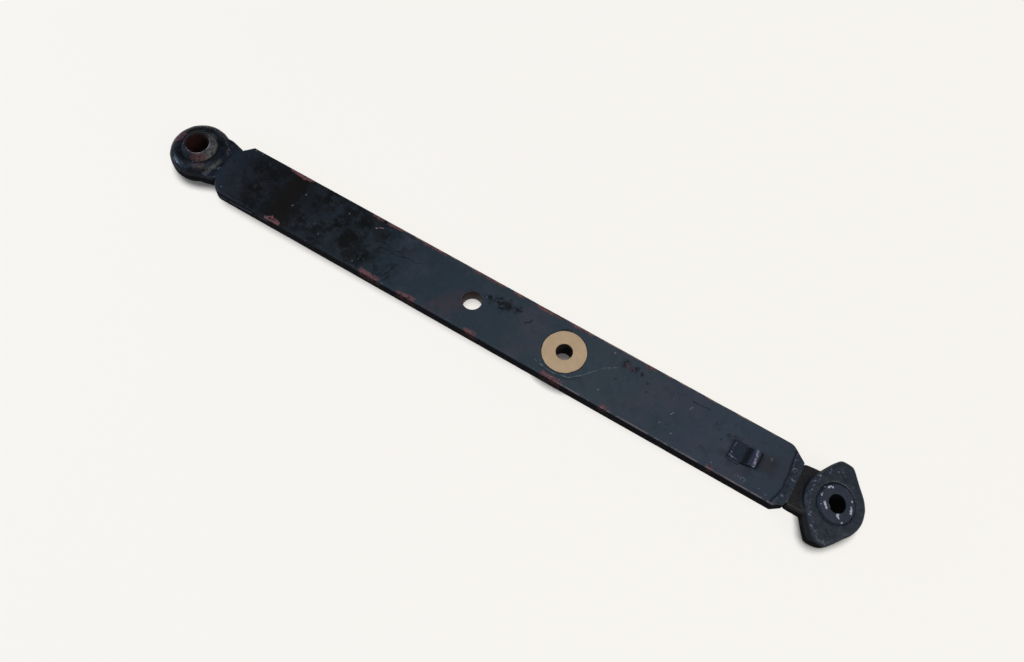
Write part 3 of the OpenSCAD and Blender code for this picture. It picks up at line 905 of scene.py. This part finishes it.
def bar_paint(span):
    """Paint of one stretch of the bar."""
    p = Paint("bar_paint", span)
    upper = p.ramp(p.z, -2, 2)
    cloud, patch = bar_ground(p)
    dark, band, band_ends = black_marks(p, patch, upper)
    edge = edge_marks(p, upper)
    halo, from_pin = pin_hole_marks(p)
    calm = p.warp(p.mm, 12, 1.2)
    bush_marks(p, calm)
    scratches, pink, chips = single_marks(p, calm, cloud, upper)
    rear_end_marks(p, calm)

    # Towards its sides the bar is painted nearly black as shade on its upright faces, and its lower face is
    # soiled.
    upright = p.steep(0.75, 0.35)
    in_hole = p.ramp(from_pin, PIN_R + 2, PIN_R + 1)
    p.coat(p.both(upright, p.minus(1, in_hole)), (7, 7, 8), 0.95)
    lower_face = p.ramp(p.z, -TOP_Z + 0.6, -TOP_Z + 0.2)
    p.coat(p.both(lower_face, p.patches(26, 0.46, 0.66, 44, 5, 0.65)), (58, 47, 44), 0.7)

    roughness = p.plus(0.42, p.both(patch, 0.22))
    roughness = p.plus(roughness, p.both(p.most(0.0, edge, halo), 0.2), clamp=True)
    roughness = p.minus(roughness, p.both(p.most(0.0, dark, band), 0.16))
    handled = p.both(p.ramp(p.math("ABSOLUTE", p.y), 38.4, 39.2), p.minus(1, p.most(0.0, edge)))
    roughness = p.minus(roughness, p.both(handled, 0.16))
    deep = p.plus(0.35, p.both(p.most(0.0, dark), 0.65))
    pitting = p.both(p.patches(4.2, 0.35, 0.7, 15, 5, 0.7), deep)
    flaked = p.minus(1, p.most(0.0, chips, pink, edge, band_ends, p.both(scratches, 0.7)))
    return p.finish(roughness, p.plus(p.both(pitting, 0.5), p.both(flaked, 0.5)), 0.16)


def paint_in_stretches(mesh):
    """Gives each stretch of the bar its own paint, because one material can't hold so many marks."""
    borders = [0, *BAR_BORDERS, 1000]
    for low, high in zip(borders[:-1], borders[1:]):
        mesh.materials.append(bar_paint((low, high)))
    for polygon in mesh.polygons:
        polygon.material_index = sum(polygon.center.x / MM > border for border in BAR_BORDERS)


def shaded_rusty_sides():
    """The upright sides: dull and painted nearly black as shade, with rust in patches and a pale bluish line
    painted as a highlight in front.
    """
    p = Paint("shaded_rusty_sides")
    p.colour = p.mix(p.both(p.patches(12, 0.56, 0.68, 66, 5, 0.65), 0.7), (14, 14, 16), (34, 23, 21))
    p.coat(p.patches(3, 0.55, 0.75, 17), (24, 25, 28))
    rusty = p.both(p.runs(p.swayed(p.x, 34, 8, 84, 4), LOWER_RUNS, 3),
                   p.patches(5, 0.4, 0.55, 12), p.ramp(p.z, -6, 6), p.ramp(p.y, 6, -6))
    p.coat(rusty, (50, 32, 32))
    # A pale bluish line painted as the highlight along the front of the near side.
    edge_highlight_line = p.stroke((60, -40, -1), (140, -40, 5.5), 1.7, 1.0, p.warp(p.mm, 8, 0.5))
    p.coat(p.both(edge_highlight_line, p.patches(9, 0.34, 0.5, 36, 3)), (62, 68, 79), 0.9)
    return p.finish(0.85, p.noise(3, 5, 0.65, shift=6), 0.3, specular=0.01)


def shade_upright_faces(piece, material, steep=0.3):
    """Gives a piece's upright faces the dull material painted nearly black as shade, apart from walls of the
    holes in the bar.
    """
    piece.data.materials.append(material)
    last = len(piece.data.materials) - 1
    for polygon in piece.data.polygons:
        centre = polygon.center.to_2d() / MM
        in_hole = min((centre - PIN.to_2d()).length - PIN_R, (centre - BUSH.to_2d()).length - BUSH_R) < 2
        if -0.6 < polygon.normal.z < steep and not in_hole:
            polygon.material_index = last


def forging_ground(p):
    """Paint of the two forgings and the welds: darker at the front, greyer at the rear, partly as painted
    light that is brighter at the rear.
    """
    p.colour = p.steps(p.x, 1000, FORGING_TONES_AND_LIGHT)
    p.coat(p.patches(16, 0.46, 0.7, 13), (28, 32, 37), 0.4)
    p.coat(p.patches(5, 0.5, 0.72, 25), (50, 54, 64), 0.25)


def front_marks(p, flat, upper):
    """Soot in patches, rust beside the ball and a row of scuffs."""
    p.coat(p.patches(14, 0.46, 0.58, 91, 5, 0.64), (9, 9, 11), 0.7)
    rust = p.both(p.spots([(-29, -1, 6), (-32, -6, 5), (-28, 6, 5)], 0, 0.5, flat),
                  p.patches(3.4, 0.36, 0.5, 8), upper)
    p.coat(rust, (72, 46, 51), 0.85)
    low_rust = p.both(p.spot((16, -22, 0), 8, 0.8, flat), p.patches(3, 0.4, 0.56, 8), upper)
    p.coat(low_rust, (54, 38, 40), 0.6)
    scuffs = p.most(p.spots([(-9, 30.5, 1.6), (-6, 31.5, 1.1), (41, -11, 3.4), (35.5, -12, 2.6),
                             (31.5, -24.5, 3.2), (44, -27, 2.4), (43.5, -30.5, 2.6), (49, 17, 1.8)],
                            0, 0.8, flat),
                    p.line([(-2, 33), (5, 32), (14, 30.4), (23.6, 26.4), (31.6, 20), (36, 11)],
                           0, 2.0, 0.8, flat))
    p.coat(p.both(scuffs, p.patches(1.8, 0.47, 0.6, 4, 3), upper), (84, 88, 94), 0.6)


def rear_marks(p, flat, upper):
    """The shank and the lower parts of the head are brownish black, partly as painted shade, with a painted
    highlight along the shank's far edge, and the head's edge is rubbed pale.
    """
    above = p.vector("DOT_PRODUCT", p.vector("SUBTRACT", p.mm, tuple(REAR)), tuple(REAR_AXIS))
    # Below the head's upper face: brownish black, partly painted shade where the neck lies low.
    shank = p.ramp(above, 12.5, 10.5)
    p.coat(shank, (27, 25, 24), 0.9)
    # A painted highlight along the shank's far edge.
    lit_edge = p.line([(856, 28), (866, 26), (876, 27)], 0, 3, 0.9, flat)
    p.coat(p.both(shank, p.broken(lit_edge, 3, 18)), (46, 42, 39), 0.8)
    edge = p.most(
        p.line([(872, -9), (869, 6), (873, 16), (879, 26), (887, 34), (895, 40)], 0, 5, 0.9, flat),
        p.line([(872, -10), (877, -24), (887, -38), (898, -47), (910, -50)], 0, 4.5, 0.9, flat),
        p.spots([(912, 28, 1.8), (934, -2, 1.6), (893, 41, 2.4), (884, 27, 3)], 0, 0.8, flat))
    edge = p.both(p.broken(edge, 3.2, 4, 0.52, 0.6), p.patches(9, 0.38, 0.55, 57, 3, 0.5))
    p.coat(p.both(edge, p.ramp(above, 10.5, 12)), (92, 97, 112), 0.8)
    nicks = p.most(p.line([(896, 32.5), (901, 30)], 0, 1.5, 0.7, flat),
                   p.line([(905, -33), (909, -37)], 0, 1.6, 0.7, flat))
    p.coat(p.both(nicks, upper), (8, 9, 11), 0.85)


def strap_marks(p, _, upper):
    """The foot has a pale outline of worn paint with a painted highlight on its edges, the rise is painted
    black as shade, the nose is painted lighter as lit and black on its far side as shade, and its top is
    rubbed and carries a painted highlight.
    """
    # The rise is painted black as shade.
    p.coat(p.both(p.ramp(p.x, 786, 791), p.ramp(p.x, 796.5, 793)), (10, 11, 14), 0.8)
    # The nose is painted lighter as lit.
    p.coat(p.both(p.ramp(p.x, 794, 797), p.ramp(p.x, 805, 803.5)), (44, 45, 57), 0.8)
    # The nose's far side is painted black as shade.
    p.coat(p.ramp(p.x, 803.5, 805), (12, 11, 13), 0.9)
    level = p.flat(p.warp(p.mm, 4, 0.9))
    # Along the nose's top: worn paint with a painted highlight.
    nose_top_wear_and_highlight = p.line([(799, 7), (801, -3), (802.5, -15)], 0, 2.4, 0.9, level)
    # Around the foot's edges: worn paint with a painted highlight.
    outline = p.line([(773.5, 6), (773.2, -13), (782, -15)], 0, 1.6, 0.9, level)
    rubbed = p.most(p.broken(nose_top_wear_and_highlight, 2.4, 41, 0.40, 0.54),
                    p.both(p.broken(outline, 2.2, 42, 0.44, 0.58), 0.55))
    p.coat(p.both(rubbed, upper), (116, 118, 134), 0.85)


def forging_paint(name, marks, base_roughness):
    """Paint of a forged or bent piece. Its marks are a function that lays more coats."""
    p = Paint(name)
    forging_ground(p)
    point = p.add("ShaderNodeNewGeometry").outputs["Pointiness"]
    p.coat(p.both(p.ramp(point, 0.506, 0.53), p.patches(3.6, 0.5, 0.6, 2, 4, 0.65)), (78, 82, 92), 0.4)
    # Painted shade in the hollows and fillets, where the surface curves inward.
    p.coat(p.ramp(point, 0.488, 0.44), (14, 15, 18), 0.5)
    marks(p, p.flat(p.warp(p.mm, 6, 3)), p.ramp(p.z, 0, 3))
    flecks = p.patches(1.7, 0.71, 0.77, 33, 2, 0.5)
    p.coat(flecks, (84, 88, 98), 0.5)
    # Upright faces are painted nearly black as shade.
    upright = p.steep(0.8, 0.2)
    p.coat(upright, (10, 10, 13), 0.9)
    roughness = p.plus(p.uneven(base_roughness, 0.26, 9), p.both(upright, 0.35), clamp=True)
    height = p.plus(p.both(p.noise(3, 5, 0.68, shift=15), 0.8), p.both(flecks, -0.2))
    height = p.plus(height, p.both(p.noise(8, 3, 0.5, shift=71), 1.2))
    return p.finish(roughness, height, 0.3, specular=0.1)


def weld_paint():
    """Paint of the welds: worn on the ripples' crests with painted shade between them, pale spots on the
    ground pad's lumps that are worn paint with painted highlights, painted shade in its hollows, and upright
    faces painted dark as shade.
    """
    p = Paint("weld_paint")
    forging_ground(p)
    point = p.add("ShaderNodeNewGeometry").outputs["Pointiness"]
    p.coat(p.both(p.ramp(point, 0.54, 0.62), p.patches(3, 0.5, 0.66, 2)), (84, 88, 98), 0.5)
    # Painted shade in the hollows between the ripples.
    p.coat(p.ramp(point, 0.47, 0.40), (14, 16, 20), 0.5)
    # Pale spots on lumps of the ground pad: worn paint with painted highlights.
    pale = p.spots([(846, 11, 3.0), (848.5, -0.5, 2.6), (843.5, 24, 1.6), (846, -24, 2.2)], TOP_Z, 0.9)
    p.coat(p.broken(pale, 2.4, 72, 0.46, 0.58), (92, 100, 108), 0.8)
    # Painted shade in the hollows of the ground pad.
    pad_hollow_shade = p.spots([(849, 9, 2.0), (844.5, 4, 2.4), (847, -12, 2.8), (844, 16, 1.8), (848, -20, 2.0)],
                     TOP_Z, 0.8)
    p.coat(pad_hollow_shade, (13, 16, 21), 0.6)
    # Upright faces are painted nearly black as shade.
    p.coat(p.ramp(p.facing_up, 0.6, 0.2), (12, 12, 13), 0.8)
    return p.finish(p.uneven(0.28, 0.3, 4), p.noise(1.8, 3, 0.55, shift=6), 0.12, specular=0.1)


def ball_steel():
    """The front ball: bare worn steel, painted paler on its right as lit, bluish near black on its left where
    paint is left and painted shade falls, and rusty in and below its bore.
    """
    p = Paint("ball_steel")
    p.colour = p.mix(p.patches(7, 0.42, 0.62, 4), (28, 30, 35), (44, 43, 43))
    toward_right = p.swayed(p.plus(p.both(p.x, 0.8), p.both(p.y, 0.45)), 22, 6, 31, 4)
    # The right side is bare steel, painted paler as lit.
    p.coat(p.both(p.ramp(toward_right, 8, 15), p.patches(3, 0.38, 0.56, 9, 4, 0.65)), (80, 78, 78), 0.7)
    # The left side keeps dark paint and is painted near black as shade.
    p.coat(p.ramp(toward_right, 9, 1), (6, 8, 12), 0.92)
    low = p.both(p.spot((15, -17, 22), 12, 0.8, p.warp(p.mm, 7, 4)), p.patches(3.2, 0.36, 0.56, 5))
    p.coat(low, (78, 52, 50), 0.75)
    radius = p.distance_from(FRONT)
    toward_low_right = p.minus(p.both(p.x, 0.7), p.both(p.y, 0.7))
    # A pale rim at the bore's lower right: worn steel with a painted highlight.
    rim = p.both(p.ramp(radius, FRONT_BORE + 2.2, FRONT_BORE + 1.6), p.ramp(toward_low_right, 0, 8),
                 p.patches(4, 0.36, 0.52, 48, 3))
    p.coat(rim, (104, 106, 114), 0.7)
    bore = p.ramp(radius, FRONT_BORE + 0.9, FRONT_BORE + 0.2)
    p.coat(bore, p.mix(p.noise(5, 4, 0.6, shift=7), (14, 7, 7), (44, 22, 19)), 0.95)
    p.coat(p.both(p.patches(1.5, 0.66, 0.73, 33, 2, 0.5), p.minus(1, bore)), (120, 118, 116), 0.7)
    roughness = p.plus(p.uneven(0.4, 0.3, 4), p.both(bore, 0.4), clamp=True)
    return p.finish(roughness, p.noise(2.2, 5, 0.68, shift=6), 0.3, specular=0.06)


def ball_paint():
    """The rear ball: painted over with the link, its paint chipped around the rim and the bore, the bore
    painted black as shade beyond its mouth, and the sphere beyond the flat face darkened as painted shade.
    """
    p = Paint("ball_paint")
    local = p.vector("SUBTRACT", p.mm, tuple(REAR))
    along = p.vector("DOT_PRODUCT", local, tuple(REAR_AXIS))
    radius = p.vector("DISTANCE", local, p.scaled(REAR_AXIS, along))
    p.colour = p.mix(p.patches(9, 0.42, 0.66, 4), (30, 35, 46), (36, 40, 50))
    rim_r = 21.2
    on_face = p.flat(p.warp(p.mm, 2.6, 1.5))
    rim_chips = p.both(p.ramp(radius, rim_r - 1.4, rim_r - 0.4), p.patches(5, 0.62, 0.66, 16, 3))
    mouth_chips = p.most(
        p.line([(890, -8), (892, -11), (894.5, -13.5)], 0, 2.2, 0.7, on_face),
        p.line([(911.5, -15), (909.5, -13), (908.8, -11)], 0, 2.4, 0.7, on_face),
        p.line([(886.5, 9.5), (888.5, 12), (891, 13)], 0, 1.8, 0.7, on_face),
        p.line([(922, -2), (921.2, 1), (919.5, 5)], 0, 1.8, 0.7, on_face),
        p.spots([(917.5, 11.5, 1.3), (917, -17, 1.1)], 0, 0.6, on_face))
    chips = p.most(rim_chips, mouth_chips)
    p.coat(p.both(chips, p.ramp(along, 14, 16)), (140, 146, 158), 0.9)
    # The bore beyond its mouth is painted black as shade.
    bore = p.both(p.ramp(radius, REAR_BORE + 0.4, REAR_BORE + 0.1),
                  p.ramp(p.math("ABSOLUTE", along), 17, 14.5))
    p.coat(bore, (3, 3, 3))
    # Painted shade on the sphere beyond the flat face.
    p.coat(p.ramp(radius, rim_r + 0.2, rim_r + 1.0), (20, 23, 28), 0.4)
    roughness = p.plus(p.uneven(0.36, 0.26, 5), p.both(bore, 0.5), clamp=True)
    height = p.minus(p.both(p.noise(2.6, 4, 0.62, shift=6), 0.6), p.both(chips, 0.4))
    return p.finish(roughness, height, 0.25, specular=0.1)


def bush_steel():
    """The bush: a bare turned face gone tan, painted near black in the bore as shade."""
    p = Paint("bush_steel")
    radius = p.distance_from(BUSH)
    p.colour = p.mix(p.patches(22, 0.35, 0.7, 4), (146, 124, 98), (156, 133, 105))
    p.coat(p.patches(3, 0.5, 0.75, 14), (134, 111, 86), 0.4)
    turned = p.math("SINE", p.both(radius, 9.0))
    p.coat(p.ramp(turned, 0, 1), (128, 107, 84), 0.10)
    # Paint has crept over the rim unevenly, behind a thin dark line.
    crept = p.plus(radius, p.both(p.noise(12, 5, 0.7, shift=3), 4.6))
    p.coat(p.ramp(crept, BUSH_R + 2.0, BUSH_R + 2.5), (58, 48, 44), 0.85)
    p.coat(p.ramp(crept, BUSH_R + 2.4, BUSH_R + 2.9), (38, 44, 53))
    # The bore is painted near black as shade.
    bore = p.ramp(radius, BUSH_BORE + 0.9, BUSH_BORE + 0.2)
    p.coat(bore, p.mix(p.noise(6, 3, 0.6, shift=8), (5, 5, 5), (17, 14, 11)))
    side = p.ramp(p.z, BUSH_HIGH.z - 0.5, BUSH_HIGH.z - 1)
    p.coat(p.both(side, p.ramp(radius, BUSH_R - 3, BUSH_R - 1)), (44, 46, 50), 0.9)
    p.coat(p.ramp(p.z, BUSH_LOW.z + 1.2, BUSH_LOW.z + 0.4), (90, 74, 62), 0.5)
    roughness = p.plus(p.uneven(0.42, 0.2, 9), p.both(bore, 0.5), clamp=True)
    height = p.plus(p.both(turned, 0.12), p.both(p.noise(2, 4, 0.6, shift=6), 0.3))
    return p.finish(roughness, height, 0.08, specular=0.2)


# Studio

def map_range(tree, value, target, low, high, to_low, to_high, smooth=False):
    """Feeds a target socket with a value mapped from one range to another, at an even rate or smoothly."""
    node = tree.nodes.new("ShaderNodeMapRange")
    node.interpolation_type = "SMOOTHSTEP" if smooth else "LINEAR"
    node.inputs["From Min"].default_value = low
    node.inputs["From Max"].default_value = high
    node.inputs["To Min"].default_value = to_low
    node.inputs["To Max"].default_value = to_high
    tree.links.new(value, node.inputs["Value"])
    tree.links.new(node.outputs["Result"], target)


def paper():
    """The floor's paper. It glows, less so close under the part, where it is hidden from the light."""
    material = bpy.data.materials.new("paper")
    material.use_nodes = True
    tree = material.node_tree
    shader = tree.nodes["Principled BSDF"]
    shader.inputs["Base Color"].default_value = (0.05, 0.049, 0.048, 1)
    shader.inputs["Roughness"].default_value = 1.0
    shader.inputs["Specular IOR Level"].default_value = 0.0
    shader.inputs["Emission Color"].default_value = (1.0, 0.975, 0.935, 1)
    hidden = tree.nodes.new("ShaderNodeAmbientOcclusion")
    hidden.samples = 16
    hidden.inputs["Distance"].default_value = CONTACT_REACH
    map_range(tree, hidden.outputs["AO"], shader.inputs["Emission Strength"],
              0.5, 0.83, FLOOR_GLOW * 0.1, FLOOR_GLOW)
    return material


def studio():
    """Floor under the part, pale surroundings and three soft lights."""
    lean = (FLOOR_REAR_Z - FLOOR_FRONT_Z) / FLOOR_RUN
    corners = [(sx * FLOOR_REACH, sy * FLOOR_REACH, (FLOOR_FRONT_Z + lean * sx * FLOOR_REACH / MM) * MM)
               for sx, sy in ((-1, -1), (1, -1), (1, 1), (-1, 1))]
    mesh = bpy.data.meshes.new("floor")
    mesh.from_pydata(corners, [], [(0, 1, 2, 3)])
    mesh.materials.append(paper())
    new_object("floor", mesh)

    world = bpy.data.worlds.new("studio")
    world.use_nodes = True
    tree = world.node_tree
    background = tree.nodes["Background"]
    background.inputs["Color"].default_value = (0.97, 0.985, 1.0, 1)
    direction = tree.nodes.new("ShaderNodeTexCoord")
    height = tree.nodes.new("ShaderNodeSeparateXYZ")
    tree.links.new(direction.outputs["Generated"], height.inputs[0])
    map_range(tree, height.outputs["Z"], background.inputs["Strength"],
              0.35, 0.8, WALL_LIGHT, CEILING_LIGHT, smooth=True)
    bpy.context.scene.world = world

    for name, place, aim, size, power, colour in LIGHTS:
        data = bpy.data.lights.new(name, "AREA")
        data.shape = "RECTANGLE"
        data.size, data.size_y = size
        data.energy = power
        data.color = colour
        lamp = new_object(name, data)
        lamp.location = place
        lamp.rotation_euler = (Vector(aim) - Vector(place)).to_track_quat("-Z", "Y").to_euler()


def camera():
    """The camera at the photograph's viewpoint."""
    data = bpy.data.cameras.new("camera")
    data.lens = CAMERA_LENS
    data.sensor_width = 36
    eye = new_object("camera", data)
    eye.location = CAMERA_PLACE
    eye.rotation_euler = Euler([math.radians(a) for a in CAMERA_TURN])
    bpy.context.scene.camera = eye


def build():
    """Camera, studio and the eleven pieces."""
    camera()
    studio()
    bpy.context.scene.view_settings.view_transform = "Standard"
    weld = weld_paint()

    flat_bar = make_object("flat_bar", bar_mesh(), None, "link", "link_bar")
    paint_in_stretches(flat_bar.data)
    # Upright faces get a dull material painted nearly black as shade, with rust in patches.
    shaded_rusty_side_paint = shaded_rusty_sides()
    shade_upright_faces(flat_bar, shaded_rusty_side_paint)
    uneven = [(9, 0.30), (3.5, 0.10)]
    for name, node, tidy, swell, marks, roughness in (
            ("front_forging", "front_eye", full_neck, 0.3, front_marks, 0.14),
            ("rear_forging", "rear_eye", clear_of_ball(REAR), 0.35, rear_marks, 0.24)):
        mesh = forged(node, name, 0.8, 36, uneven, tidy, swell)
        paint = forging_paint(name + "_paint", marks, roughness)
        shade_upright_faces(make_object(name, mesh, paint, "link", node), shaded_rusty_side_paint, 0.1)
    front_weld = butt_weld_mesh("front_weld", 9.0, 4, 0.7, 0.7, 2.2, 1.3, 4.2, [])
    rear_weld = butt_weld_mesh("rear_weld", 12.5, 0, 0.15, 1.9, 3.5, 1.5, 5.2, [ground_pad_mesh()])
    for name, node, mesh in (("front_butt_weld", "front_weld", front_weld),
                             ("rear_butt_weld", "rear_weld", rear_weld),
                             ("bush_fillet", "bush_weld", bush_weld_mesh()),
                             ("strap_fillets", "keeper_weld", keeper_weld_mesh())):
        make_object(name, mesh, weld, "link", node)
    make_object("bent_strap", forged("keeper_strap", "bent_strap", 0.42, 5, [(5, 0.12)]),
                forging_paint("strap_paint", strap_marks, 0.16), "link", "keeper_strap")
    make_object("turned_bush", bush_mesh(), bush_steel(), "link", "lift_rod_bush")
    front_ball = ball_mesh("front_pin_ball", FRONT, FRONT_AXIS, FRONT_BALL_WIDTH, FRONT_BORE)
    make_object("front_pin_ball", front_ball, ball_steel(), "front_ball", "front_ball")
    rear_ball = ball_mesh("rear_pin_ball", REAR, REAR_AXIS, REAR_BALL_WIDTH, REAR_BORE, mouth=0.5)
    make_object("rear_pin_ball", rear_ball, ball_paint(), "rear_ball", "rear_ball")


build()
